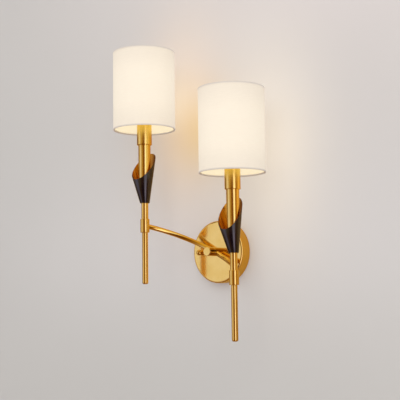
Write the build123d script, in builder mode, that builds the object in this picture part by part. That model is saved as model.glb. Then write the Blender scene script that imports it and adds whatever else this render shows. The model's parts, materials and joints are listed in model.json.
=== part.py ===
"""Double arm wall sconce: two candle lamps with drum shades on curved tube arms.

Millimetres. The origin is the centre of the wall bracket's back face, on the wall. +Z is up, +X is to
the right for someone who faces the wall, and the room is towards -Y.
"""

import os
from math import acos, asin, degrees, hypot, sqrt

from build123d import *

# --- clearances -----------------------------------------------------------------------------------
slip = 0.1  # radial gap of a plain hole round a fixed rod or tube
running = 0.05  # radial gap of a screwed joint that still turns
thread_slack = 0.15  # radial gap of a clearance hole round a threaded tube
fabric_gap = 0.3  # between a wire ring and the fabric round it

# --- wall plate and bracket -----------------------------------------------------------------------
plate_d = 128.5
plate_depth = 26
plate_wall = 1.2
plate_edge_r = 4
stud_spacing = 88
stud_d = 4
stud_hole_slack = 0.25
stud_head_d = 6.5
stud_head_room = 1  # between a stud's head and the strap's step
stud_head_h = 2.4
stud_reach = 7  # how far a stud stands out of the plate's face
strap_width = 22
strap_length = 107
strap_t = 2
strap_step = 4  # the strap's ends stand off the wall by this much
strap_step_run = 2.6
strap_bend_r = 1
box_screw_spacing = 60
box_slot_width = 4.4
box_slot_length = 13
earth_screw_d = 3.9
earth_head_d = 7.5
earth_head_h = 2.6
earth_screw_x = 12
earth_slot_width = 1.2
cap_nut_d = 12
cap_nut_foot_d = 9
cap_nut_foot_h = 1.5

# --- threaded tube and hub ------------------------------------------------------------------------
tube_d = 10
tube_bore = 7
nut_flats = 14
nut_h = 5
washer_d = 24
washer_t = 1.2
nipple_tail = 3  # threads that stick out behind the lock nut
hub_d = 18.5
hub_bore = 13
hub_floor = 3
hub_body_length = 17.6
hub_cap_length = 17.4
hub_spigot_length = 2.2
hub_edge_r = 1.2
seam_edge = 0.4

# --- arms -----------------------------------------------------------------------------------------
arm_d = 10
arm_bore = 7.6
arm_stand_off = 10  # the arms' line crosses the hub this far in front of the plate's face
lamp_reach = 95  # lamp axis to the plate's face
lamp_x = 114.7  # lamp axis to the hub's axis, sideways
lamp_rise = 55.8  # collar centre above or below the hub's axis
arm_seat = 6.4  # the arm's end stops this far from the lamp's axis, inside the collar

# --- lamp column, from the bottom up --------------------------------------------------------------
rod_d = 12.4
rod_length = 106.4
rod_end_r = 3.5
rod_thread_depth = 12
rod_thread_engaged = 10
collar_d = 19
collar_length = 28
collar_edge = 0.6
stem_d = 14.4
stem_length = 33
cone_foot_d = 19.8
cone_wall = 0.8
cone_spread = 0.217  # growth of the cone's radius per mm of height
cone_lean_heading = 210  # direction in which the cones lean, round from +X
cone_mouth_height = 74.2  # the mouth's cut crosses the lamp's axis this far above the cone's foot
cone_blank_length = 125
cone_nut_h = 4
spacer_d = 14
seat_rise = 43  # candle seat above the cone's foot
seat_t = 2
seat_spigot_h = 5
candle_d = 25.4
candle_wall = 1
candle_length = 76.4
cup_d = 31
cup_wall = 1
cup_length = 50
cup_edge_r = 1.5
holder_d = 28
holder_length = 60
holder_bore = 14
holder_bore_depth = 30
holder_thread_depth = 12
holder_wire_d = 5
contact_d = 10
contact_t = 1.2
contact_pin_d = 4
contact_pin_h = 3.8

# --- bulb -----------------------------------------------------------------------------------------
cap_tip_d = 4.6
cap_tip_h = 3
cap_length = 25.5
bulb_d = 35
bulb_neck_d = 13
bulb_length = 76
bulb_belly_height = 30
bulb_tip_r = 2.4
bulb_wall = 0.9

# --- shade ----------------------------------------------------------------------------------------
shade_d = 130
shade_height = 165.5
shade_wall = 1.4
shade_drop = 18.2  # shade's lower edge below the fitter ring
wire_d = 2.5
ring_inset = 1.2  # wire ring back from the shade's edge
fitter_d = 40
fitter_t = 1.5
fitter_slack = 0.3
fitter_flat = 9  # level stretch of a spider arm beside the fitter ring
spider_arms = 3
spider_bend_r = 7
spider_turn = 129  # direction of the first spider arm
ring_nut_d = 37
ring_nut_h = 8
ring_nut_grips = 12
ring_nut_grip_r = 2

# --- heights that follow, above a lamp's collar centre --------------------------------------------
stem_foot = collar_length / 2
cone_foot = stem_foot + stem_length
seat_foot = cone_foot + seat_rise
candle_foot = seat_foot + seat_t
cup_foot = candle_foot + candle_length
cup_top = cup_foot + cup_length
holder_foot = cup_foot + cup_wall
holder_top = holder_foot + holder_length
contact_foot = holder_top - holder_bore_depth
bulb_foot = contact_foot + contact_t + contact_pin_h
glass_foot = bulb_foot + cap_length
shade_foot = cup_top - shade_drop
tube_top = holder_foot + holder_thread_depth - slip
tube_foot = -(stem_foot + rod_thread_engaged)

# --- the arms' arc --------------------------------------------------------------------------------
lamp_depth = plate_depth + lamp_reach
crossing_depth = plate_depth + arm_stand_off
half_span = hypot(lamp_x, lamp_rise)
arm_bow = lamp_reach - arm_stand_off
arm_radius = (half_span**2 + arm_bow**2) / (2 * arm_bow)
arm_start = degrees(asin(hub_bore / 2 / arm_radius))
arm_end = degrees(acos(1 - arm_bow / arm_radius)) if arm_bow < arm_radius else 90
arm_stop = arm_end - degrees(arm_seat / arm_radius)

lamps = {"left": -1, "right": 1}
cone_leans = {"left": 0.078, "right": 0.125}  # sideways drift of a cone's centre per mm of height
cone_mouth_tilts = {"left": 49, "right": 53}  # slope of a mouth, whose low side faces the room

os.makedirs("parts", exist_ok=True)


def keep(piece, name):
    """Label a finished piece and write it under its name."""
    piece.part.label = name
    export_step(piece.part, f"parts/{name}.step")


def wall_plane(depth):
    """Plane parallel to the wall, this far into the room, facing the room."""
    return Plane.XZ.offset(depth)


def level(side, height):
    """Level plane on a lamp's axis, this far above its collar centre."""
    return Plane((side * lamp_x, -lamp_depth, height - side * lamp_rise))


def profile_plane(side):
    """Upright plane through a lamp's axis: local x runs outwards, local y is the height."""
    return Plane(level(side, 0).origin, x_dir=(1, 0, 0), z_dir=(0, -1, 0))


def lamp_axis(side):
    """A lamp's upright axis."""
    return Axis(level(side, 0).origin, (0, 0, 1))


def arm_plane(side):
    """Plane of one arm: local x runs from the hub to the lamp, local y into the room."""
    outwards = Vector(side * lamp_x, 0, -side * lamp_rise)
    return Plane((0, -crossing_depth, 0), x_dir=outwards, z_dir=outwards.cross(Vector(0, -1, 0)))


# === wall side ====================================================================================

stud_places = Locations((-stud_spacing / 2, 0), (stud_spacing / 2, 0))

# The strap lies on the wall and steps forward at both ends, where the studs' heads sit behind it.
step_end = stud_spacing / 2 - stud_head_d / 2 - stud_head_room
step_start = step_end - strap_step_run
with BuildPart() as mounting_bracket:
    with BuildSketch(Plane.XY.offset(-strap_width / 2)):
        with BuildLine():
            FilletPolyline(
                (-strap_length / 2, -strap_step),
                (-step_end, -strap_step),
                (-step_start, 0),
                (step_start, 0),
                (step_end, -strap_step),
                (strap_length / 2, -strap_step),
                radius=strap_bend_r,
            )
            offset(amount=strap_t, side=Side.RIGHT)
        make_face()
    extrude(amount=strap_width)
    with BuildSketch(wall_plane(-slip)):
        with Locations((-box_screw_spacing / 2, 0), (box_screw_spacing / 2, 0)):
            SlotOverall(box_slot_length, box_slot_width)
        with stud_places:
            Circle(stud_d / 2 + running)
        with Locations((earth_screw_x, 0)):
            Circle(earth_screw_d / 2 + running)
    extrude(amount=strap_step + strap_t + 2 * slip, mode=Mode.SUBTRACT)
    corner_edges = mounting_bracket.edges().filter_by(Axis.Y).group_by(Axis.X)
    fillet(corner_edges[0] + corner_edges[-1], radius=strap_width / 5)
keep(mounting_bracket, "mounting_bracket")

with BuildPart() as bracket_studs:
    with BuildSketch(wall_plane(strap_step - stud_head_h)):
        with stud_places:
            Circle(stud_head_d / 2)
    extrude(amount=stud_head_h)
    with BuildSketch(wall_plane(strap_step)):
        with stud_places:
            Circle(stud_d / 2)
    extrude(amount=plate_depth + stud_reach - strap_step)
    chamfer(bracket_studs.edges().filter_by(GeomType.CIRCLE).group_by(Axis.Y)[0], length=stud_d / 10)
keep(bracket_studs, "bracket_studs")

with BuildPart() as earth_screw:
    with BuildSketch(wall_plane(0)):
        with Locations((earth_screw_x, 0)):
            Circle(earth_screw_d / 2)
    extrude(amount=strap_t)
    with BuildSketch(wall_plane(strap_t)):
        with Locations((earth_screw_x, 0)):
            Circle(earth_head_d / 2)
    extrude(amount=earth_head_h)
    fillet(earth_screw.edges().filter_by(GeomType.CIRCLE).group_by(Axis.Y)[0], radius=earth_head_h / 3)
    with BuildSketch(wall_plane(strap_t + earth_head_h)):
        with Locations((earth_screw_x, 0)):
            Rectangle(earth_head_d, earth_slot_width)
    extrude(amount=-earth_head_h / 2, mode=Mode.SUBTRACT)
keep(earth_screw, "earth_screw")

with BuildPart() as back_plate:
    with BuildSketch(wall_plane(0)):
        Circle(plate_d / 2)
    extrude(amount=plate_depth)
    fillet(back_plate.faces().sort_by(Axis.Y)[0].edges(), radius=plate_edge_r)
    offset(amount=-plate_wall, openings=back_plate.faces().sort_by(Axis.Y)[-1])
    with BuildSketch(wall_plane(plate_depth)):
        Circle(tube_d / 2 + thread_slack)
        with stud_places:
            Circle(stud_d / 2 + stud_hole_slack)
    extrude(amount=-2 * plate_wall, mode=Mode.SUBTRACT)
keep(back_plate, "back_plate")

# A ball on a short round foot, bored for the stud.
ball_rise = sqrt(cap_nut_d**2 - cap_nut_foot_d**2) / 2
for name, side in lamps.items():
    nut_seat = Vector(side * stud_spacing / 2, -plate_depth, 0)
    with BuildPart() as cap_nut:
        with BuildSketch(Plane(nut_seat, x_dir=(1, 0, 0), z_dir=(0, 0, -1))):
            with BuildLine():
                ball = CenterArc(
                    (0, cap_nut_foot_h + ball_rise),
                    cap_nut_d / 2,
                    -degrees(asin(2 * ball_rise / cap_nut_d)),
                    90 + degrees(asin(2 * ball_rise / cap_nut_d)),
                )
                Polyline(ball @ 1, (0, 0), (cap_nut_foot_d / 2, 0), ball @ 0)
            make_face()
        revolve(axis=Axis(nut_seat, (0, -1, 0)))
        with BuildSketch(wall_plane(plate_depth)):
            with Locations((side * stud_spacing / 2, 0)):
                Circle(stud_d / 2 + running)
        extrude(amount=stud_reach + stud_d / 8, mode=Mode.SUBTRACT)
    keep(cap_nut, f"{name}_cap_nut")

# === hub ==========================================================================================

nipple_back = plate_depth - plate_wall - washer_t - nut_h - nipple_tail
hub_seam = plate_depth + hub_body_length

with BuildPart() as hub_nipple:
    with BuildSketch(wall_plane(nipple_back)):
        Circle(tube_d / 2)
        Circle(tube_bore / 2, mode=Mode.SUBTRACT)
    extrude(amount=plate_depth + hub_floor - nipple_back)
keep(hub_nipple, "hub_nipple")

with BuildPart() as hub_washer:
    with BuildSketch(wall_plane(plate_depth - plate_wall - washer_t)):
        Circle(washer_d / 2)
        Circle(tube_d / 2 + thread_slack, mode=Mode.SUBTRACT)
    extrude(amount=washer_t)
keep(hub_washer, "hub_washer")

with BuildPart() as hub_lock_nut:
    with BuildSketch(wall_plane(plate_depth - plate_wall - washer_t - nut_h)):
        RegularPolygon(nut_flats / 2, 6, major_radius=False)
        Circle(tube_d / 2 + running, mode=Mode.SUBTRACT)
    extrude(amount=nut_h)
keep(hub_lock_nut, "hub_lock_nut")

with BuildPart() as hub_post:
    with BuildSketch(wall_plane(plate_depth)):
        Circle(hub_d / 2)
    extrude(amount=hub_body_length)
    chamfer(hub_post.edges().filter_by(GeomType.CIRCLE).group_by(Axis.Y)[0], length=seam_edge)
    with BuildSketch(wall_plane(plate_depth + hub_floor)):
        Circle(hub_bore / 2)
    extrude(amount=hub_body_length, mode=Mode.SUBTRACT)
    with BuildSketch(wall_plane(plate_depth)):
        Circle(tube_d / 2 + running)
    extrude(amount=hub_floor, mode=Mode.SUBTRACT)
    for side in lamps.values():
        with BuildLine(arm_plane(side)) as arm_line:
            CenterArc((0, arm_radius), arm_radius, -90, 2 * arm_start)
        with BuildSketch(Plane(arm_line.line @ 0, z_dir=arm_line.line % 0)):
            Circle(arm_d / 2 + slip)
        sweep(mode=Mode.SUBTRACT)
keep(hub_post, "hub_post")

with BuildPart() as hub_end_cap:
    with BuildSketch(wall_plane(hub_seam)):
        Circle(hub_d / 2)
    extrude(amount=hub_cap_length)
    chamfer(hub_end_cap.edges().filter_by(GeomType.CIRCLE).group_by(Axis.Y)[-1], length=seam_edge)
    fillet(hub_end_cap.edges().filter_by(GeomType.CIRCLE).group_by(Axis.Y)[0], radius=hub_edge_r)
    with BuildSketch(wall_plane(hub_seam)):
        Circle(hub_bore / 2 - slip)
    extrude(amount=-hub_spigot_length)
keep(hub_end_cap, "hub_end_cap")


# === arms and lamps ===============================================================================


def make_arm(name, side):
    """One arm: a tube on a circular arc from the hub's wall to just inside the collar."""
    with BuildPart() as arm:
        with BuildLine(arm_plane(side)) as arm_line:
            CenterArc((0, arm_radius), arm_radius, arm_start - 90, arm_stop - arm_start)
        with BuildSketch(Plane(arm_line.line @ 0, z_dir=arm_line.line % 0)):
            Circle(arm_d / 2)
            Circle(arm_bore / 2, mode=Mode.SUBTRACT)
        sweep()
    keep(arm, f"{name}_arm")


def make_collar(name, side):
    """The sleeve that takes the arm's end from behind."""
    with BuildPart() as collar:
        with BuildSketch(level(side, -collar_length / 2)):
            Circle(collar_d / 2)
        extrude(amount=collar_length)
        chamfer(collar.edges().filter_by(GeomType.CIRCLE), length=collar_edge)
        with BuildSketch(level(side, -collar_length / 2)):
            Circle(tube_d / 2 + thread_slack)
        extrude(amount=collar_length, mode=Mode.SUBTRACT)
        with BuildLine(arm_plane(side)) as arm_line:
            CenterArc((0, arm_radius), arm_radius, arm_stop - 90, -degrees(collar_d / arm_radius))
        with BuildSketch(Plane(arm_line.line @ 0, z_dir=arm_line.line % 0)):
            Circle(arm_d / 2 + slip)
        sweep(mode=Mode.SUBTRACT)
    keep(collar, f"{name}_collar")


def make_lower_rod(name, side):
    """The long rod below the collar, rounded at its foot and screwed on the threaded tube."""
    with BuildPart() as lower_rod:
        with BuildSketch(level(side, -stem_foot - rod_length)):
            Circle(rod_d / 2)
        extrude(amount=rod_length)
        round_edges = lower_rod.edges().filter_by(GeomType.CIRCLE).group_by(Axis.Z)
        fillet(round_edges[0], radius=rod_end_r)
        chamfer(round_edges[-1], length=seam_edge)
        with BuildSketch(level(side, -stem_foot)):
            Circle(tube_d / 2 + running)
        extrude(amount=-rod_thread_depth, mode=Mode.SUBTRACT)
    keep(lower_rod, f"{name}_lower_rod")


def make_sleeve(name, side, foot, length, outer_d, bore):
    """A plain tube or sleeve that the threaded tube or the holder passes through."""
    with BuildPart() as sleeve:
        with BuildSketch(level(side, foot)):
            Circle(outer_d / 2)
            Circle(bore / 2, mode=Mode.SUBTRACT)
        extrude(amount=length)
    keep(sleeve, name)


def make_cone(name, side):
    """The rolled leaf: a thin cone that leans to one side, cut off at a steep slant."""
    lean = Vector(cone_leans[name], 0).rotate(Axis.Z, cone_lean_heading)
    drift = lean * cone_blank_length
    floor_drift = lean * cone_wall
    top_r = cone_foot_d / 2 + cone_spread * cone_blank_length
    floor_r = cone_foot_d / 2 + cone_spread * cone_wall
    mouth_middle = level(side, cone_foot + cone_mouth_height).origin
    mouth_normal = Vector(0, 0, 1).rotate(Axis.X, cone_mouth_tilts[name])
    with BuildPart() as cone:
        with BuildSketch(level(side, cone_foot)):
            Circle(cone_foot_d / 2)
        with BuildSketch(level(side, cone_foot + cone_blank_length)):
            with Locations((drift.X, drift.Y)):
                Circle(top_r)
        loft()
        with BuildSketch(level(side, cone_foot + cone_wall)):
            with Locations((floor_drift.X, floor_drift.Y)):
                Circle(floor_r - cone_wall)
        with BuildSketch(level(side, cone_foot + cone_blank_length)):
            with Locations((drift.X, drift.Y)):
                Circle(top_r - cone_wall)
        loft(mode=Mode.SUBTRACT)
        with BuildSketch(level(side, cone_foot)):
            Circle(tube_d / 2 + thread_slack)
        extrude(amount=cone_wall, mode=Mode.SUBTRACT)
        split(bisect_by=Plane(mouth_middle, z_dir=mouth_normal), keep=Keep.BOTTOM)
    keep(cone, f"{name}_cone")


def make_cone_nut(name, side):
    """The hexagon nut on the cone's floor that clamps the column below."""
    with BuildPart() as cone_nut:
        with BuildSketch(level(side, cone_foot + cone_wall)):
            RegularPolygon(nut_flats / 2, 6, major_radius=False)
            Circle(tube_d / 2 + running, mode=Mode.SUBTRACT)
        extrude(amount=cone_nut_h)
    keep(cone_nut, f"{name}_cone_nut")


def make_candle_seat(name, side):
    """The turned disc that carries the candle tube, with a spigot inside it."""
    with BuildPart() as candle_seat:
        with BuildSketch(level(side, seat_foot)):
            Circle(candle_d / 2)
        extrude(amount=seat_t)
        with BuildSketch(level(side, candle_foot)):
            Circle(candle_d / 2 - candle_wall - slip)
        extrude(amount=seat_spigot_h)
        with BuildSketch(level(side, seat_foot)):
            Circle(tube_d / 2 + thread_slack)
        extrude(amount=seat_t + seat_spigot_h, mode=Mode.SUBTRACT)
    keep(candle_seat, f"{name}_candle_seat")


def make_socket_cup(name, side):
    """The husk round the lamp holder: a deep cup that stands on the candle tube."""
    with BuildPart() as socket_cup:
        with BuildSketch(level(side, cup_foot)):
            Circle(cup_d / 2)
        extrude(amount=cup_length)
        fillet(socket_cup.edges().filter_by(GeomType.CIRCLE).group_by(Axis.Z)[0], radius=cup_edge_r)
        with BuildSketch(level(side, cup_foot + cup_wall)):
            Circle(cup_d / 2 - cup_wall)
        extrude(amount=cup_length, mode=Mode.SUBTRACT)
        with BuildSketch(level(side, cup_foot)):
            Circle(tube_d / 2 + thread_slack)
        extrude(amount=cup_wall, mode=Mode.SUBTRACT)
    keep(socket_cup, f"{name}_socket_cup")


def make_lamp_holder(name, side):
    """The insulating holder with its bulb bore, wire way and bottom thread."""
    with BuildPart() as lamp_holder:
        with BuildSketch(level(side, holder_foot)):
            Circle(holder_d / 2)
        extrude(amount=holder_length)
        chamfer(lamp_holder.edges().filter_by(GeomType.CIRCLE), length=seam_edge)
        with BuildSketch(level(side, holder_top)):
            Circle(holder_bore / 2)
        extrude(amount=-holder_bore_depth, mode=Mode.SUBTRACT)
        with BuildSketch(level(side, holder_foot)):
            Circle(tube_d / 2 + running)
        extrude(amount=holder_thread_depth, mode=Mode.SUBTRACT)
        with BuildSketch(level(side, holder_foot)):
            Circle(holder_wire_d / 2)
        extrude(amount=holder_length - holder_bore_depth, mode=Mode.SUBTRACT)
    keep(lamp_holder, f"{name}_lamp_holder")


def make_contact(name, side):
    """The brass contact at the bottom of the holder's bore."""
    with BuildPart() as contact:
        with BuildSketch(level(side, contact_foot)):
            Circle(contact_d / 2)
        extrude(amount=contact_t)
        with BuildSketch(level(side, contact_foot + contact_t)):
            Circle(contact_pin_d / 2)
        extrude(amount=contact_pin_h)
    keep(contact, f"{name}_holder_contact")


def make_bulb_cap(name, side):
    """The bulb's screw shell with its insulated tip."""
    shell_r = holder_bore / 2 - running
    with BuildPart() as bulb_cap:
        with BuildSketch(profile_plane(side)):
            with BuildLine():
                Polyline(
                    (0, bulb_foot),
                    (cap_tip_d / 2, bulb_foot),
                    (shell_r, bulb_foot + cap_tip_h),
                    (shell_r, glass_foot),
                    (0, glass_foot),
                    close=True,
                )
            make_face()
        revolve(axis=lamp_axis(side))
    keep(bulb_cap, f"{name}_bulb_cap")


def bulb_outline(inset):
    """Half outline of the candle bulb's glass, moved in by a wall; the foot stays level."""
    neck = (bulb_neck_d / 2 - inset, glass_foot)
    belly = (bulb_d / 2 - inset, glass_foot + bulb_belly_height)
    taper = (bulb_tip_r, glass_foot + bulb_length - bulb_tip_r - inset)
    crown = (0, glass_foot + bulb_length - inset)
    lower = Spline(neck, belly, tangents=((0.5, 1), (0, 1)))
    Spline(belly, taper, crown, tangents=((0, 1), (-1, 0)))
    Polyline(crown, (0, glass_foot), lower @ 0)


def make_bulb_glass(name, side):
    """The thin candle-shaped glass."""
    with BuildPart() as bulb_glass:
        with BuildSketch(profile_plane(side)):
            with BuildLine():
                bulb_outline(0)
            make_face()
        revolve(axis=lamp_axis(side))
        with BuildSketch(profile_plane(side)):
            with BuildLine():
                bulb_outline(bulb_wall)
            make_face()
        revolve(axis=lamp_axis(side), mode=Mode.SUBTRACT)
    keep(bulb_glass, f"{name}_bulb_glass")


def wire_ring_r():
    """Radius of a wire ring's middle line, just inside the fabric."""
    return shade_d / 2 - shade_wall - fabric_gap - wire_d / 2


def make_shade_frame(name, side):
    """Fitter ring, three bent arms and the bottom ring, welded into one."""
    fitter_height = cup_top + fitter_t / 2
    ring_height = shade_foot + ring_inset + wire_d / 2
    ring_r = wire_ring_r()
    with BuildPart() as shade_frame:
        with BuildSketch(level(side, cup_top)):
            Circle(fitter_d / 2)
            Circle(holder_d / 2 + fitter_slack, mode=Mode.SUBTRACT)
        extrude(amount=fitter_t)
        with BuildSketch(profile_plane(side)):
            with Locations((ring_r, ring_height)):
                Circle(wire_d / 2)
        revolve(axis=lamp_axis(side))
        for number in range(spider_arms):
            turn = spider_turn + number * 360 / spider_arms
            outwards = Vector(1, 0, 0).rotate(Axis.Z, turn)
            arm_face = Plane(level(side, 0).origin, x_dir=outwards, z_dir=outwards.cross(Vector(0, 0, 1)))
            bend = fitter_d / 2 + fitter_flat
            with BuildLine(arm_face) as arm_line:
                FilletPolyline(
                    (fitter_d / 2 - wire_d, fitter_height),
                    (bend, fitter_height),
                    (ring_r, ring_height),
                    radius=spider_bend_r,
                )
            with BuildSketch(Plane(arm_line.line @ 0, z_dir=arm_line.line % 0)):
                Circle(fitter_t / 2)
            sweep()
    keep(shade_frame, f"{name}_shade_frame")


def make_shade_top_ring(name, side):
    """The wire ring inside the shade's top hem."""
    with BuildPart() as top_ring:
        with BuildSketch(profile_plane(side)):
            with Locations((wire_ring_r(), shade_foot + shade_height - ring_inset - wire_d / 2)):
                Circle(wire_d / 2)
        revolve(axis=lamp_axis(side))
    keep(top_ring, f"{name}_shade_top_ring")


def make_ring_nut(name, side):
    """The grooved ring nut that clamps the shade's fitter on the socket cup."""
    with BuildPart() as ring_nut:
        with BuildSketch(level(side, cup_top + fitter_t)):
            Circle(ring_nut_d / 2)
            with PolarLocations(ring_nut_d / 2 + ring_nut_grip_r / 2, ring_nut_grips):
                Circle(ring_nut_grip_r, mode=Mode.SUBTRACT)
            Circle(holder_d / 2 + running, mode=Mode.SUBTRACT)
        extrude(amount=ring_nut_h)
    keep(ring_nut, f"{name}_shade_ring_nut")


for name, side in lamps.items():
    make_arm(name, side)
    make_collar(name, side)
    make_lower_rod(name, side)
    make_sleeve(f"{name}_threaded_tube", side, tube_foot, tube_top - tube_foot, tube_d, tube_bore)
    make_sleeve(f"{name}_stem_tube", side, stem_foot, stem_length, stem_d, tube_d + 2 * thread_slack)
    make_cone(name, side)
    make_cone_nut(name, side)
    spacer_foot = cone_foot + cone_wall + cone_nut_h
    spacer_bore = tube_d + 2 * thread_slack
    make_sleeve(f"{name}_spacer_tube", side, spacer_foot, seat_foot - spacer_foot, spacer_d, spacer_bore)
    make_candle_seat(name, side)
    candle_bore = candle_d - 2 * candle_wall
    make_sleeve(f"{name}_candle_tube", side, candle_foot, candle_length, candle_d, candle_bore)
    make_socket_cup(name, side)
    make_lamp_holder(name, side)
    make_contact(name, side)
    make_bulb_cap(name, side)
    make_bulb_glass(name, side)
    make_shade_frame(name, side)
    make_shade_top_ring(name, side)
    make_ring_nut(name, side)
    fabric_bore = shade_d - 2 * shade_wall
    make_sleeve(f"{name}_shade_fabric", side, shade_foot, shade_height, shade_d, fabric_bore)

print("arm radius", round(arm_radius, 2), "arm stops at", round(arm_stop, 2), "degrees")
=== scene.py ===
"""Looks of the double arm wall sconce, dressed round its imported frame.

Metres, in the frame of the part: the origin is on the wall behind the plate, +Z is up, +X is to the right
for someone who faces the wall, and the room is towards -Y.
"""

import json
import logging
import math
from dataclasses import dataclass, field
from enum import Enum
from typing import Iterable, Optional, Union

import bmesh
import bpy
from mathutils import Matrix, Vector

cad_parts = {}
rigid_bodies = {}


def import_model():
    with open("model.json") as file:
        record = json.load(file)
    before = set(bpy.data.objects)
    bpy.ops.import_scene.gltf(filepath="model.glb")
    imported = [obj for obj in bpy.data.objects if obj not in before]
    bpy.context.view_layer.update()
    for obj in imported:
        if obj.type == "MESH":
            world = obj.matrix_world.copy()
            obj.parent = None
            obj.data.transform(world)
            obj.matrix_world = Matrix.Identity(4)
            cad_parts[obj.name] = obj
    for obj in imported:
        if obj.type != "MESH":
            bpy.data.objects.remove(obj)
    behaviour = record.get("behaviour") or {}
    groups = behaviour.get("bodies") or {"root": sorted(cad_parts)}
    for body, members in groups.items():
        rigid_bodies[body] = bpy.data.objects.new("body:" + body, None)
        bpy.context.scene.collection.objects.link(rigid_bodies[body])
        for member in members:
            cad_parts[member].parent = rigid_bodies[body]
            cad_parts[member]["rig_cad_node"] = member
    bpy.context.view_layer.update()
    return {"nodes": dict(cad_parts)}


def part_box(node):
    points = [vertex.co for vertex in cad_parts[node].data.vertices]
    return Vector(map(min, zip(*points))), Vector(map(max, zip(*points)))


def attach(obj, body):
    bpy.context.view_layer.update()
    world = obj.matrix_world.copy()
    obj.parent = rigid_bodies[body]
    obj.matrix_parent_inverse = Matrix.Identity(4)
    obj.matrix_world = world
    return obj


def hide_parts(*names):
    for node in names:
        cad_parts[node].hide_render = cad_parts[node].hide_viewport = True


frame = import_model()

logging.basicConfig(level=logging.INFO, format="%(name)s: %(message)s")
log = logging.getLogger("sconce")

MM = 0.001
UP = Vector((0, 0, 1))
INTO_ROOM = Vector((0, -1, 0))
Colour = tuple[float, float, float]
Outline = list[tuple[float, float]]
Spot = tuple[float, float, float, float, Colour]


def shade(colour: Colour, share: float) -> Colour:
    """The same colour, with this share of its light."""
    return tuple(channel * share for channel in colour)


class Side(Enum):
    """The two lamps, for someone who faces the wall."""

    LEFT = "left"
    RIGHT = "right"

    def node(self, part: str) -> str:
        """Name of this lamp's CAD node for a part."""
        return f"{self.value}_{part}"


class Grain(Enum):
    """Way in which a metal piece was brushed, as the stretch of its noise per metre."""

    ROUND = (9.0, 9.0, 2300.0)
    UPRIGHT = (1500.0, 1500.0, 7.0)
    LATHE = (9.0, 2300.0, 9.0)
    EVEN = (420.0, 420.0, 420.0)


# === shader writing ===============================================================================


class Ink:
    """One socket of a shader tree, for use in ordinary arithmetic."""

    def __init__(self, recipe: "Recipe", socket: bpy.types.NodeSocket) -> None:
        """Wraps a socket.

        Args:
            recipe: The tree that the socket belongs to.
            socket: The output that carries the value.
        """
        self.recipe = recipe
        self.socket = socket

    def _math(self, operation: str, first: "Value", second: "Value") -> "Ink":
        """Adds one Math node.

        Args:
            operation: Blender's name of the operation.
            first: Left value.
            second: Right value.

        Returns:
            The node's result.
        """
        return self.recipe.node("ShaderNodeMath", {"operation": operation}, {0: first, 1: second})

    def __add__(self, other: "Value") -> "Ink":
        """Sum."""
        return self._math("ADD", self, other)

    def __radd__(self, other: "Value") -> "Ink":
        """Sum, from the right."""
        return self._math("ADD", other, self)

    def __sub__(self, other: "Value") -> "Ink":
        """Difference."""
        return self._math("SUBTRACT", self, other)

    def __rsub__(self, other: "Value") -> "Ink":
        """Difference, from the right."""
        return self._math("SUBTRACT", other, self)

    def __mul__(self, other: "Value") -> "Ink":
        """Product."""
        return self._math("MULTIPLY", self, other)

    def __truediv__(self, other: "Value") -> "Ink":
        """Quotient."""
        return self._math("DIVIDE", self, other)

    def sine(self) -> "Ink":
        """Sine of this angle in radians."""
        return self._math("SINE", self, 0.0)

    def size(self) -> "Ink":
        """This value without its sign."""
        return self._math("ABSOLUTE", self, 0.0)

    def bell(self) -> "Ink":
        """1 where this value is 0, fading softly as it grows."""
        return self._math("EXPONENT", 0.0 - self, 0.0)

    def larger(self, other: "Value") -> "Ink":
        """The larger of two values."""
        return self._math("MAXIMUM", self, other)

    def heading(self, other: "Value") -> "Ink":
        """Angle of the point whose height is this value and whose width is the other."""
        return self._math("ARCTAN2", self, other)


Value = Union[Ink, float, int, tuple, Vector]


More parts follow.
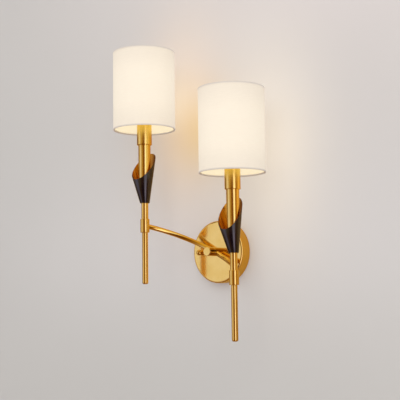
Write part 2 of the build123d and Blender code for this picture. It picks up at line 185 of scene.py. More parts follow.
class Recipe:
    """Writes one node tree of a material or of the world."""

    def __init__(self, tree: bpy.types.NodeTree) -> None:
        """Empties the tree and starts afresh.

        Args:
            tree: The tree to write.
        """
        self.tree = tree
        tree.nodes.clear()

    def node(
        self,
        kind: str,
        settings: Optional[dict] = None,
        inputs: Optional[dict] = None,
        output: Union[int, str] = 0,
    ) -> Ink:
        """Adds any node.

        Args:
            kind: Blender's type name of the node.
            settings: Attributes to set first; "stops" holds a ramp's places and colours.
            inputs: Values or links of its sockets, by name or number.
            output: The output to hand back.

        Returns:
            The chosen output.
        """
        made = self.tree.nodes.new(kind)
        for name, value in (settings or {}).items():
            if name == "stops":
                ramp = made.color_ramp
                for place, colour in value[2:]:
                    ramp.elements.new(place).color = (*colour, 1.0)
                for element, (place, colour) in zip(ramp.elements, value[:2]):
                    element.position, element.color = place, (*colour, 1.0)
            else:
                setattr(made, name, value)
        for name, value in (inputs or {}).items():
            socket = made.inputs[name]
            if isinstance(value, Ink):
                self.tree.links.new(value.socket, socket)
            elif socket.type == "RGBA" and len(value) == 3:
                socket.default_value = (*value, 1.0)
            else:
                socket.default_value = value
        found = made.outputs
        return Ink(self, found[output]) if len(found) else None

    def place(self, scale: Iterable[float] = (1, 1, 1), shift: Iterable[float] = (0, 0, 0)) -> Ink:
        """The point on the piece in the part's frame, moved and stretched.

        Args:
            scale: Stretch along each axis.
            shift: Added after the stretch.

        Returns:
            The vector.
        """
        here = self.node("ShaderNodeTexCoord", output="Object")
        return self.node(
            "ShaderNodeMapping", None, {"Vector": here, "Scale": tuple(scale), "Location": tuple(shift)}
        )

    def noise(self, where: Ink, scale: float, detail: float = 2.0) -> Ink:
        """Smooth noise from 0 to 1.

        Args:
            where: Vector to read it at.
            scale: Waves per unit of the vector.
            detail: Finer octaves.

        Returns:
            The noise as a number.
        """
        return self.node("ShaderNodeTexNoise", None, {"Vector": where, "Scale": scale, "Detail": detail})

    def blend(self, share: Value, first: Value, second: Value, mode: str = "MIX") -> Ink:
        """Mixes two colours.

        Args:
            share: How much of the second, from 0 to 1.
            first: Colour at 0.
            second: Colour at 1.
            mode: Blender's name of the way in which they mix.

        Returns:
            The mixed colour.
        """
        settings = {"data_type": "RGBA", "blend_type": mode}
        return self.node("ShaderNodeMix", settings, {0: share, 6: first, 7: second}, 2)

    def axes(self, vector: Ink, names: str = "XYZ") -> tuple[Ink, ...]:
        """A vector's parts along the named axes."""
        return tuple(self.node("ShaderNodeSeparateXYZ", None, {0: vector}, axis) for axis in names)

    def ray(self, kind: str) -> Ink:
        """1 for rays of this kind, and 0 for others."""
        return self.node("ShaderNodeLightPath", output=f"Is {kind} Ray")

    def ease(self, value: Ink, low: float, high: float, start: float = 0.0, end: float = 1.0) -> Ink:
        """A smooth step.

        Args:
            value: What is mapped.
            low: Value that gives start.
            high: Value that gives end.
            start: Result at low.
            end: Result at high.

        Returns:
            The mapped number.
        """
        return self.node(
            "ShaderNodeMapRange",
            {"interpolation_type": "SMOOTHSTEP"},
            {"Value": value, "From Min": low, "From Max": high, "To Min": start, "To Max": end},
        )

    def relief(self, height: Ink, depth: float, strength: float = 1.0) -> Ink:
        """A bump.

        Args:
            height: Height from 0 to 1.
            depth: Metres that the height stands for.
            strength: Share of it that is used.

        Returns:
            The bent normal.
        """
        return self.node("ShaderNodeBump", None, {"Height": height, "Distance": depth, "Strength": strength})


class Finish:
    """A surface finish that can be laid on pieces. Each is written once per name."""

    def lay(self, name: str) -> bpy.types.Material:
        """The material with this finish.

        Args:
            name: Name of the material.

        Returns:
            A new material, or the one made before under that name.
        """
        found = bpy.data.materials.get(name)
        if found is None:
            found = bpy.data.materials.new(name)
            found.use_nodes = True
            recipe = Recipe(found.node_tree)
            skin = recipe.node("ShaderNodeBsdfPrincipled", None, self.sockets(recipe))
            recipe.node("ShaderNodeOutputMaterial", None, {"Surface": skin})
        return found

    def sockets(self, recipe: Recipe) -> dict:
        """The values and links of the shader.

        Args:
            recipe: The tree being written.

        Returns:
            Socket name to value.
        """
        raise NotImplementedError


@dataclass(frozen=True)
class Brass(Finish):
    """Polished brass with faint turning strokes."""

    grain: Grain = Grain.ROUND
    bright: Colour = (0.90, 0.645, 0.15)
    deep: Colour = (0.84, 0.57, 0.11)
    roughness: float = 0.08
    strokes: float = 0.006 * MM
    sweep: float = 0.0
    tone_scale: float = 34.0
    sweep_turn: float = 0.25

    def sockets(self, recipe: Recipe) -> dict:
        """Brushed strokes over a slowly changing tone.

        Args:
            recipe: The tree being written.

        Returns:
            Socket name to value.
        """
        tone = recipe.noise(recipe.place(), self.tone_scale, 3.0)
        stroke = recipe.noise(recipe.place(self.grain.value), 1.0, 3.0)
        share = recipe.ease(tone * 0.6 + stroke * 0.4, 0.35, 0.65)
        return {
            "Base Color": recipe.blend(share, self.bright, self.deep),
            "Metallic": 1.0,
            "Roughness": self.roughness - 0.02 + tone * 0.03 + stroke * 0.02,
            "Anisotropic": self.sweep,
            "Anisotropic Rotation": self.sweep_turn,
            "Normal": recipe.relief(stroke, self.strokes),
        }


@dataclass(frozen=True)
class Enamel(Finish):
    """Sprayed or dipped colour with a fine orange-peel surface."""

    colour: Colour
    roughness: float = 0.4
    metallic: float = 0.0
    variation: float = 0.12
    peel: float = 0.03 * MM
    specular: float = 0.5
    tint: Colour = (1.0, 1.0, 1.0)
    cloud_scale: float = 55.0
    peel_scale: float = 1400.0

    def sockets(self, recipe: Recipe) -> dict:
        """A colour that varies a little, with a fine peel.

        Args:
            recipe: The tree being written.

        Returns:
            Socket name to value.
        """
        cloud = recipe.noise(recipe.place(), self.cloud_scale, 3.0)
        peel = recipe.noise(recipe.place(), self.peel_scale)
        darker = shade(self.colour, 1 - self.variation)
        return {
            "Base Color": recipe.blend(recipe.ease(cloud, 0.3, 0.7), self.colour, darker),
            "Metallic": self.metallic,
            "Roughness": self.roughness - 0.04 + cloud * 0.08,
            "Normal": recipe.relief(peel, self.peel),
            "Specular IOR Level": self.specular,
            "Specular Tint": self.tint,
        }


@dataclass(frozen=True)
class Plated(Finish):
    """Plain plated or rolled metal with fine marks."""

    colour: Colour = (0.62, 0.62, 0.60)
    roughness: float = 0.32
    grain: Grain = Grain.EVEN
    cloud_scale: float = 70.0
    worn: float = 0.82
    marks: float = 0.02 * MM

    def sockets(self, recipe: Recipe) -> dict:
        """Fine marks and slightly uneven sheen.

        Args:
            recipe: The tree being written.

        Returns:
            Socket name to value.
        """
        marks = recipe.noise(recipe.place(self.grain.value), 1.0, 3.0)
        cloud = recipe.noise(recipe.place(), self.cloud_scale)
        worn = shade(self.colour, self.worn)
        return {
            "Base Color": recipe.blend(recipe.ease(cloud, 0.35, 0.65), self.colour, worn),
            "Metallic": 1.0,
            "Roughness": self.roughness - 0.06 + cloud * 0.12,
            "Normal": recipe.relief(marks, self.marks),
        }


@dataclass(frozen=True)
class Linen(Finish):
    """Fine white linen with a painted glow that stands in for the bulb's light behind it. Its threads follow
    the drum's curve.
    """

    centre: Vector
    low: float
    high: float
    cloth: Colour = (0.56, 0.53, 0.48)
    # Painted glow of the bulb's light through the cloth, in the middle, at the ends and in blotches.
    glow_middle: Colour = (0.456, 0.382, 0.283)
    glow_ends: Colour = (0.376, 0.307, 0.228)
    fade: tuple[float, float] = (0.25, 1.05)
    glow_blotch_colour: Colour = (0.60, 0.50, 0.36)
    glow_blotch_share: float = 0.06
    thread: float = 0.7 * MM
    drum_r: float = 64.7 * MM
    relief: float = 0.12 * MM
    slub_scale: tuple[float, float, float] = (90, 90, 900)
    mottle_scale: float = 14.0

    def sockets(self, recipe: Recipe) -> dict:
        """Warp and weft threads with slubs, and a glow that fades from the middle to the ends.

        Args:
            recipe: The tree being written.

        Returns:
            Socket name to value.
        """
        x, y, z = recipe.axes(recipe.place(shift=(-self.centre.x, -self.centre.y, 0)))
        wave = 2 * math.pi / self.thread
        threads = round(2 * math.pi * self.drum_r / self.thread)
        weft = (z * wave).sine() * 0.5 + 0.5
        warp = (y.heading(x) * threads).sine() * 0.5 + 0.5
        weave = weft * 0.5 + warp * 0.5
        slub = recipe.noise(recipe.place(self.slub_scale), 1.0)
        uneven = recipe.ease(slub * 0.7 + weave * 0.3, 0.3, 0.7)
        middle, reach = (self.low + self.high) / 2, (self.high - self.low) / 2
        away = ((z - middle) / reach).size()
        glow = recipe.blend(recipe.ease(away, *self.fade), self.glow_middle, self.glow_ends)
        soft = recipe.noise(recipe.place(), self.mottle_scale)
        return {
            "Base Color": recipe.blend(uneven, self.cloth, shade(self.cloth, 0.95)),
            "Roughness": 0.92,
            "Specular IOR Level": 0.2,
            "Sheen Weight": 0.08,
            "Normal": recipe.relief(weave * 0.7 + slub * 0.3, self.relief, 0.6),
            # Painted glow: emission stands in for the bulb's light shining through the cloth, brightest at
            # mid-height, with painted blotches.
            "Emission Color": recipe.blend(
                recipe.ease(soft, 0.3, 0.7), glow, recipe.blend(self.glow_blotch_share, glow, self.glow_blotch_colour)
            ),
            "Emission Strength": 1.0,
        }


@dataclass(frozen=True)
class Glow(Finish):
    """A pale surface that gives off light, smooth from low to high."""

    colour: Colour
    light_low: Colour
    light_high: Colour
    low: float
    high: float
    strength: float = 1.0
    roughness: float = 0.6
    mottle_scale: float = 120.0

    def sockets(self, recipe: Recipe) -> dict:
        """Light that changes with height over a faintly mottled ground.

        Args:
            recipe: The tree being written.

        Returns:
            Socket name to value.
        """
        (height,) = recipe.axes(recipe.place(), "Z")
        mottle = recipe.noise(recipe.place(), self.mottle_scale)
        return {
            "Base Color": recipe.blend(recipe.ease(mottle, 0.3, 0.7), self.colour, shade(self.colour, 0.94)),
            "Roughness": self.roughness,
            "Emission Color": recipe.blend(
                recipe.ease(height, self.low, self.high), self.light_low, self.light_high
            ),
            "Emission Strength": self.strength,
        }


# === modelling moves ==============================================================================


class Bench:
    """Modelling moves that the pieces share. Each starts with nothing selected."""

    @staticmethod
    def clear() -> None:
        """Leaves edit mode and deselects everything."""
        if bpy.context.object and bpy.context.object.mode != "OBJECT":
            bpy.ops.object.mode_set(mode="OBJECT")
        bpy.ops.object.select_all(action="DESELECT")

    @staticmethod
    def name(piece: str) -> bpy.types.Object:
        """Names the primitive that was just added and puts its place in its mesh.

        Args:
            piece: The new name.

        Returns:
            The object.
        """
        made = bpy.context.object
        made.name = made.data.name = piece
        bpy.ops.object.transform_apply(location=True, rotation=True, scale=True)
        return made

    @classmethod
    def line(cls, piece: str, points: list[Vector]) -> bpy.types.Object:
        """Draws an open line by extruding one corner along its points.

        Args:
            piece: Name of the piece.
            points: The points, in metres.

        Returns:
            The object, in edit mode with the mesh selected.
        """
        cls.clear()
        bpy.ops.mesh.primitive_plane_add(size=0.001, location=points[0])
        made = cls.name(piece)
        bpy.ops.object.mode_set(mode="EDIT")
        bpy.ops.mesh.select_mode(type="VERT")
        bpy.ops.mesh.select_all(action="SELECT")
        bpy.ops.mesh.merge(type="CENTER")
        for start, end in zip(points, points[1:]):
            bpy.ops.mesh.extrude_vertices_move(TRANSFORM_OT_translate={"value": end - start})
        bpy.ops.mesh.select_all(action="SELECT")
        return made

    @classmethod
    def turned(
        cls, piece: str, outline: Outline, axis: tuple[Vector, Vector], steps: int = 96, closed: bool = False
    ) -> bpy.types.Object:
        """Turns an outline of radius and height about an axis.

        Args:
            piece: Name of the piece.
            outline: Radius and height of each point, in metres.
            axis: A point on the axis and its direction.
            steps: Steps of the full turn.
            closed: Whether the outline's last point joins its first.

        Returns:
            The finished shell.
        """
        centre, along = axis
        across = along.orthogonal().normalized()
        points = [centre + across * radius + along * height for radius, height in outline]
        made = cls.line(piece, points)
        if closed:
            bpy.ops.mesh.edge_face_add()
            bpy.ops.mesh.delete(type="ONLY_FACE")
            bpy.ops.mesh.select_all(action="SELECT")
        bpy.ops.mesh.spin(steps=steps, angle=2 * math.pi, center=centre, axis=along, use_auto_merge=True)
        bpy.ops.mesh.select_all(action="SELECT")
        bpy.ops.mesh.remove_doubles(threshold=1e-6)
        bpy.ops.mesh.normals_make_consistent(inside=False)
        bpy.ops.object.mode_set(mode="OBJECT")
        return made

    @staticmethod
    def teeth(start: float, length: float, radius: float, pitch: float) -> Outline:
        """Outline of a threaded stretch, drawn as rings one pitch apart.

        Args:
            start: Height of its lower end.
            length: Its length.
            radius: Outer radius.
            pitch: Distance from tooth to tooth.

        Returns:
            Radius and height of each point.
        """
        count = round(length / pitch)
        step, root = length / count, radius - 0.6 * pitch
        crest_start, crest_end = 0.42 * step, 0.58 * step
        outline = []
        for tooth in range(count):
            base = start + tooth * step
            outline += [(root, base), (radius, base + crest_start), (radius, base + crest_end)]
        return outline + [(root, start + length)]

    @classmethod
    def smooth(cls, made: bpy.types.Object, degrees: float = 35.0) -> None:
        """Shades a piece smooth except at its real edges.

        Args:
            made: The piece.
            degrees: Edges sharper than this stay crisp.
        """
        cls.clear()
        bpy.context.view_layer.objects.active = made
        made.select_set(True)
        bpy.ops.object.shade_smooth_by_angle(angle=math.radians(degrees))
        made.select_set(False)

    @classmethod
    def apply(cls, made: bpy.types.Object, kind: str, **settings: object) -> None:
        """Adds a modifier and applies it.

        Args:
            made: The piece.
            kind: Blender's type name of the modifier.
            **settings: Its settings.
        """
        cls.clear()
        bpy.context.view_layer.objects.active = made
        made.select_set(True)
        step = made.modifiers.new(kind.lower(), kind)
        for name, value in settings.items():
            setattr(step, name, value)
        bpy.ops.object.modifier_apply(modifier=step.name)
        made.select_set(False)


def dress(made: bpy.types.Object, *materials: bpy.types.Material) -> None:
    """Gives a piece its materials, in slot order.

    Args:
        made: The piece or CAD node.
        *materials: One for each slot.
    """
    if "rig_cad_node" in made:
        for slot in made.material_slots:
            slot.material = materials[0]
        return
    made.data.materials.clear()
    for material in materials:
        made.data.materials.append(material)


def seat(made: bpy.types.Object, body: str, slot: str, *nodes: str) -> None:
    """Makes a new piece ride on a body in place of CAD nodes.

    Args:
        made: The piece.
        body: The CAD body that carries it.
        slot: The record's material slot; not used.
        *nodes: The CAD nodes that it stands for.
    """
    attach(made, body)
    if nodes:
        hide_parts(*nodes)
    log.info("%s rides on %s", made.name, body)


# === sub-assemblies ===============================================================================


@dataclass
class Leaf:
    """The rolled cone of one lamp: dark outside, copper gold inside, cut off at a steep slant."""

    side: Side
    lean: float
    mouth_tilt: float
    foot_r: float = 9.9 * MM
    wall: float = 0.8 * MM
    spread: float = 0.217
    lean_heading: float = 210.0
    mouth_height: float = 74.2 * MM
    blank: float = 125 * MM
    hole_r: float = 5.15 * MM
    lip: float = 0.22 * MM
    steps: int = 192
    outside: Enamel = Enamel((0.005, 0.003, 0.006), 0.16, 0.0, 0.25, 0.01 * MM, 0.76, (1.0, 0.92, 0.63))
    inside: Brass = Brass(Grain.EVEN, (0.60, 0.31, 0.045), (0.48, 0.225, 0.028), 0.13)

    def build(self) -> bpy.types.Object:
        """Rolls the blank, leans it, cuts its mouth and gives it a wall.

        Returns:
            The finished piece.
        """
        low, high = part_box(self.side.node("cone"))
        tube_low, tube_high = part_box(self.side.node("stem_tube"))
        foot = Vector(((tube_low.x + tube_high.x) / 2, (tube_low.y + tube_high.y) / 2, low.z))
        heading = math.radians(self.lean_heading)
        drift = Vector((math.cos(heading), math.sin(heading), 0)) * (self.lean * self.blank)
        Bench.clear()
        bpy.ops.mesh.primitive_cone_add(
            vertices=self.steps,
            radius1=self.foot_r,
            radius2=self.foot_r + self.spread * self.blank,
            depth=self.blank,
            location=foot + Vector((0, 0, self.blank / 2)),
        )
        made = Bench.name(self.side.node("leaf"))
        dress(made, self.outside.lay("dark_bronze_outside"), self.inside.lay("copper_gold_inside"))
        self._open(made, drift)
        tilt = math.radians(self.mouth_tilt)
        bpy.ops.mesh.select_all(action="SELECT")
        bpy.ops.mesh.bisect(
            plane_co=foot + Vector((0, 0, self.mouth_height)),
            plane_no=(0, -math.sin(tilt), math.cos(tilt)),
            clear_outer=True,
        )
        bpy.ops.object.mode_set(mode="OBJECT")
        Bench.apply(
            made, "SOLIDIFY", thickness=self.wall, offset=-1.0, use_even_offset=True,
            material_offset=1, material_offset_rim=0,
        )
        Bench.apply(
            made, "BEVEL", width=self.lip, segments=2, limit_method="ANGLE", angle_limit=math.radians(50)
        )
        Bench.smooth(made, 40)
        seat(made, "fixture", "dark_bronze", self.side.node("cone"))
        return made

    def _open(self, made: bpy.types.Object, drift: Vector) -> None:
        """Slides the blank's top sideways, opens it, and cuts the hole in its floor.

        Args:
            made: The blank, left in edit mode.
            drift: How far the top slides.
        """
        bpy.ops.object.mode_set(mode="EDIT")
        bpy.ops.mesh.select_mode(type="FACE")
        for end in ("top", "floor"):
            bpy.ops.mesh.select_all(action="DESELECT")
            mesh = bmesh.from_edit_mesh(made.data)
            for face in mesh.faces:
                level = face.normal.z > 0.9 if end == "top" else face.normal.z < -0.9
                face.select_set(level)
            bmesh.update_edit_mesh(made.data)
            if end == "top":
                bpy.ops.transform.translate(value=drift)
            else:
                bpy.ops.mesh.inset(thickness=self.foot_r - self.hole_r)
            bpy.ops.mesh.delete(type="FACE")


@dataclass
class Drum:
    """The fabric drum shade of one lamp: a stretched linen tube on a liner, with rolled hems."""

    side: Side
    wall: float = 1.1 * MM
    inset: float = 0.3 * MM
    hem_height: float = 4.0 * MM
    hem_wrap: float = 0.3 * MM
    hem_tuck: float = 0.1 * MM
    rows: int = 66
    steps: int = 180
    seam_width: float = 11 * MM
    seam_steps: int = 8
    seam_lift: float = 0.05 * MM
    seam_height: float = 0.25 * MM
    ripple_width: float = 30 * MM
    ripple_depth: float = 0.25 * MM
    liner: Colour = (0.62, 0.58, 0.50)
    # Painted glow: the liner gives off light that stands in for the bulb's light falling on it, brighter at
    # the lower edge and dimmer higher up.
    liner_glow_low: Colour = (0.48, 0.44, 0.32)
    liner_glow_high: Colour = (0.36, 0.31, 0.23)
    liner_glow_fade: float = 80 * MM

    def build(self) -> bpy.types.Object:
        """Makes the cloth, its hems and its overlapped seam.

        Returns:
            The cloth.
        """
        low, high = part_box(self.side.node("shade_fabric"))
        centre = (low + high) / 2
        radius = (high.x - low.x) / 2 - self.inset
        axis = (Vector((centre.x, centre.y, 0)), UP)
        bottom, top = low.z + self.inset, high.z - self.inset
        outline = [(radius, bottom + (top - bottom) * row / self.rows) for row in range(self.rows + 1)]
        cloth = Bench.turned(self.side.node("shade_cloth"), outline, axis, self.steps)
        linen = Linen(centre, low.z, high.z)
        # The liner glows with painted light in place of the bulb's light on it.
        liner = Glow(
            self.liner, self.liner_glow_low, self.liner_glow_high, low.z, low.z + self.liner_glow_fade, roughness=0.55
        )
        dress(cloth, linen.lay(self.side.node("linen")), liner.lay(self.side.node("liner")))
        ripple = bpy.data.textures.new(self.side.node("ripple"), "CLOUDS")
        ripple.noise_scale = self.ripple_width
        Bench.apply(cloth, "DISPLACE", texture=ripple, strength=self.ripple_depth, mid_level=0.75)
        Bench.apply(
            cloth, "SOLIDIFY", thickness=self.wall, offset=-1.0, material_offset=1, material_offset_rim=1
        )
        Bench.smooth(cloth, 50)
        seat(cloth, f"{self.side.value}_shade", "shade_fabric", self.side.node("shade_fabric"))
        edges = [
            self._hem("bottom", low.z, 1, centre, radius), self._hem("top", high.z, -1, centre, radius)
        ]
        seam = self._seam(centre, radius, bottom, top)
        2 * math.pi * radius
        top - bottom
        self.side.node("shade_frame")
        self.side.node("shade_top_ring")
        return cloth

    def _hem(self, end: str, edge: float, inwards: int, centre: Vector, radius: float) -> bpy.types.Object:
        """One rolled hem: a strip of the same linen folded over the edge.

        Args:
            end: Which end it is on.
            edge: Height of the shade's end.
            inwards: 1 where the shade lies above the edge, and -1 where it lies below.
            centre: Centre of the shade.
            radius: Outer radius of the cloth.

        Returns:
            The hem.
        """
        outer, inner = radius + self.inset, radius - self.wall - self.hem_wrap
        middle, half = (outer + inner) / 2, (outer - inner) / 2
        fold_steps, waist = 8, 0.55
        outline = [(inner, edge + inwards * self.hem_height)]
        for step in range(fold_steps + 1):
            turn = math.pi * step / fold_steps
            outline.append((middle - half * math.cos(turn), edge + inwards * half * (1 - math.sin(turn))))
        tucked = edge + inwards * (self.hem_height + self.hem_tuck)
        outline += [
            (outer, edge + inwards * self.hem_height * waist),
            (outer - self.hem_tuck / 2, edge + inwards * self.hem_height),
            (radius - self.hem_tuck, tucked),
            (inner + self.hem_tuck, tucked),
        ]
        axis = (Vector((centre.x, centre.y, 0)), UP)
        made = Bench.turned(self.side.node(f"shade_hem_{end}"), outline, axis, self.steps, closed=True)
        Bench.smooth(made, 50)
        low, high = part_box(self.side.node("shade_fabric"))
        # The tape's painted glow fades to a dim lip at the very edge, a painted shade line.
        tape = Linen(
            centre,
            low.z,
            high.z,
            cloth=(0.54, 0.515, 0.475),
            glow_middle=(0.375, 0.305, 0.23),
            glow_ends=(0.14, 0.10, 0.085),
            fade=(0.95, 0.995),
        )
        dress(made, tape.lay(self.side.node("hem_tape")))
        seat(made, f"{self.side.value}_shade", "shade_fabric")
        return made

    def _seam(self, centre: Vector, radius: float, bottom: float, top: float) -> bpy.types.Object:
        """The glued overlap of the cloth's two ends, on the wall side.

        Args:
            centre: Centre of the shade.
            radius: Outer radius of the cloth.
            bottom: Height of the cloth's lower edge.
            top: Height of its upper edge.

        Returns:
            The seam strip.
        """
        half = self.seam_width / 2 / radius
        reach = self.hem_height * 1.05
        Bench.clear()
        foot = Vector((centre.x, centre.y, bottom + reach))
        points = [
            foot + Vector((math.sin(turn), math.cos(turn), 0)) * (radius + self.seam_lift)
            for turn in (half * (2 * step / self.seam_steps - 1) for step in range(self.seam_steps + 1))
        ]
        made = Bench.line(self.side.node("shade_seam"), points)
        bpy.ops.mesh.extrude_edges_move(TRANSFORM_OT_translate={"value": (0, 0, top - bottom - 2 * reach)})
        bpy.ops.mesh.select_all(action="SELECT")
        bpy.ops.mesh.normals_make_consistent(inside=False)
        bpy.ops.object.mode_set(mode="OBJECT")
        if made.data.polygons[0].normal.y <= 0:
            made.data.flip_normals()
        Bench.apply(made, "SOLIDIFY", thickness=self.seam_height, offset=1.0)
        Bench.smooth(made, 50)
        low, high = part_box(self.side.node("shade_fabric"))
        linen = Linen(centre, low.z, high.z, glow_middle=(0.45, 0.375, 0.275), glow_ends=(0.37, 0.30, 0.22))
        dress(made, linen.lay(self.side.node("seam_linen")))
        seat(made, f"{self.side.value}_shade", "shade_fabric")
        return made


@dataclass
class BulbCap:
    """The rolled screw shell of one bulb, with its tip."""

    side: Side
    tip_r: float = 2.0 * MM
    tip_height: float = 3.2 * MM
    shoulder_r: float = 4.6 * MM
    shoulder_drop: float = 0.6 * MM
    edge: float = 0.3 * MM
    pitch: float = 2.4 * MM
    depth: float = 0.9 * MM
    turns: int = 7
    turn_steps: int = 6
    collar: float = 3.5 * MM
    steps: int = 64
    metal: Plated = Plated((0.78, 0.78, 0.76), 0.25, Grain.ROUND)

    def build(self) -> bpy.types.Object:
        """Turns the shell.

        Returns:
            The cap.
        """
        low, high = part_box(self.side.node("bulb_cap"))
        radius = (high.x - low.x) / 2
        root, screw_start = radius - self.depth, low.z + self.tip_height
        outline = [
            (0, low.z),
            (self.tip_r, low.z),
            (self.tip_r + self.edge, low.z + self.edge),
            (self.shoulder_r, screw_start - self.shoulder_drop),
            (root, screw_start),
        ]
        for turn in range(self.turns):
            start = screw_start + turn * self.pitch
            for step in range(self.turn_steps):
                share = step / self.turn_steps
                swell = 0.5 - 0.5 * math.cos(2 * math.pi * share)
                outline.append((radius - self.depth * (1 - swell), start + self.pitch * share))
        outline += [
            (root, screw_start + self.turns * self.pitch),
            (radius, high.z - self.collar),
            (radius, high.z - self.edge),
            (radius - self.edge, high.z),
            (0, high.z),
        ]
        axis = (Vector(((low.x + high.x) / 2, (low.y + high.y) / 2, 0)), UP)
        made = Bench.turned(self.side.node("bulb_screw"), outline, axis, self.steps)
        Bench.smooth(made, 60)
        dress(made, self.metal.lay("cap_metal"))
        seat(made, f"{self.side.value}_bulb", "cap_metal", self.side.node("bulb_cap"))
        return made


@dataclass
class Lamp:
    """One lamp from the rod's foot to the bulb."""

    side: Side
    leaf: Leaf
    bent: Brass = Brass(Grain.EVEN)
    turned: Brass = Brass(roughness=0.20, strokes=0.002 * MM, sweep=1.0)
    plated: Plated = Plated()
    plastic: Enamel = Enamel((0.80, 0.78, 0.72), 0.45, 0.0, 0.05)
    wire: Enamel = Enamel((0.78, 0.76, 0.71), 0.42, 0.0, 0.05)
    glass: Colour = (0.9, 0.85, 0.75)
    glass_low: Colour = (1.0, 0.74, 0.42)
    glass_high: Colour = (1.0, 0.80, 0.52)

    def build(self) -> None:
        """Dresses the turned pieces and adds those with finer shapes."""
        low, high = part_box(self.side.node("bulb_glass"))
        glass = Glow(self.glass, self.glass_low, self.glass_high, low.z, high.z, 1.5, 0.35)
        self._dress(self.bent, "brass_even", "arm", "cap_nut")
        self._dress(
            self.turned, "brass_round", "collar", "lower_rod", "stem_tube", "spacer_tube", "candle_seat",
            "candle_tube", "socket_cup", "holder_contact",
        )
        self._dress(self.plated, "zinc_plate", "threaded_tube", "cone_nut")
        self._dress(self.plastic, "holder_plastic", "lamp_holder", "shade_ring_nut")
        self._dress(self.wire, "white_wire", "shade_frame", "shade_top_ring")
        self._dress(glass, self.side.node("frosted_glass"), "bulb_glass")
        BulbCap(self.side).build()
        self.leaf.build()
        Drum(self.side).build()
        log.info("%s lamp dressed", self.side.value)

    def _dress(self, finish: Finish, name: str, *parts: str) -> None:
        """Lays one finish on some of this lamp's CAD pieces.

        Args:
            finish: The finish.
            name: Name of its material.
            *parts: The pieces, without the side in their names.
        """
        for part in parts:
            dress(frame["nodes"][self.side.node(part)], finish.lay(name))


@dataclass
class WallSide:
    """Plate, bracket and hub on the wall."""

    stud_x: float = 44 * MM
    stud_r: float = 2 * MM
    stud_head_r: float = 3.25 * MM
    stud_head_h: float = 2.4 * MM
    stud_pitch: float = 0.7 * MM
    stud_steps: int = 40
    nipple_bore_r: float = 3.5 * MM
    nipple_pitch: float = 1.0 * MM
    nipple_steps: int = 64
    edge: float = 0.25 * MM
    end_bevel: float = 0.75 * MM
    plate: Brass = Brass(Grain.UPRIGHT, roughness=0.10)
    turned: Brass = Brass(Grain.LATHE)
    plated: Plated = Plated()
    earth: Enamel = Enamel((0.09, 0.34, 0.13), 0.35, 0.6)

    def build(self) -> None:
        """Dresses the wall side."""
        nodes = frame["nodes"]
        dress(nodes["back_plate"], self.plate.lay("brass_plate"))
        for part in ("hub_post", "hub_end_cap"):
            dress(nodes[part], self.turned.lay("brass_hub"))
        for part in ("mounting_bracket", "hub_washer", "hub_lock_nut"):
            dress(nodes[part], self.plated.lay("zinc_plate"))
        dress(nodes["earth_screw"], self.earth.lay("earth_green"))
        self._studs()
        self._nipple()
        log.info("wall side dressed")

    def _studs(self) -> bpy.types.Object:
        """The bracket's two threaded studs, heads against the strap.

        Returns:
            Both studs as one piece.
        """
        low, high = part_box("bracket_studs")
        length, edge, head = high.y - low.y, self.edge, self.stud_head_r
        outline = [(0, 0), (head - edge, 0), (head, edge), (head, self.stud_head_h - edge)]
        outline += [(head - edge, self.stud_head_h), (self.stud_r, self.stud_head_h)]
        start = self.stud_head_h + self.stud_pitch
        outline += [(self.stud_r, start)]
        outline += Bench.teeth(start, length - start - edge, self.stud_r, self.stud_pitch)
        outline += [(self.stud_r - self.end_bevel, length), (0, length)]
        studs = [
            Bench.turned(f"stud_{number}", outline, (Vector((x, high.y, 0)), INTO_ROOM), self.stud_steps)
            for number, x in enumerate((-self.stud_x, self.stud_x))
        ]
        Bench.clear()
        for stud in studs:
            stud.select_set(True)
        bpy.context.view_layer.objects.active = studs[0]
        bpy.ops.object.join()
        pair = bpy.context.object
        pair.name = pair.data.name = "stud_pair"
        Bench.smooth(pair)
        dress(pair, self.plated.lay("zinc_plate"))
        seat(pair, "fixture", "steel", "bracket_studs")
        return pair

    def _nipple(self) -> bpy.types.Object:
        """The threaded tube that holds the hub.

        Returns:
            The tube.
        """
        low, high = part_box("hub_nipple")
        length, radius = high.y - low.y, (high.x - low.x) / 2
        outline = [(self.nipple_bore_r, 0), (radius - self.end_bevel, 0)]
        outline += Bench.teeth(self.edge, length - 2 * self.edge, radius, self.nipple_pitch)
        outline += [(radius - self.end_bevel, length), (self.nipple_bore_r, length)]
        axis = (Vector((0, high.y, 0)), INTO_ROOM)
        made = Bench.turned("hub_thread", outline, axis, self.nipple_steps, closed=True)
        Bench.smooth(made)
        dress(made, self.plated.lay("zinc_plate"))
        seat(made, "fixture", "steel", "hub_nipple")
        return made


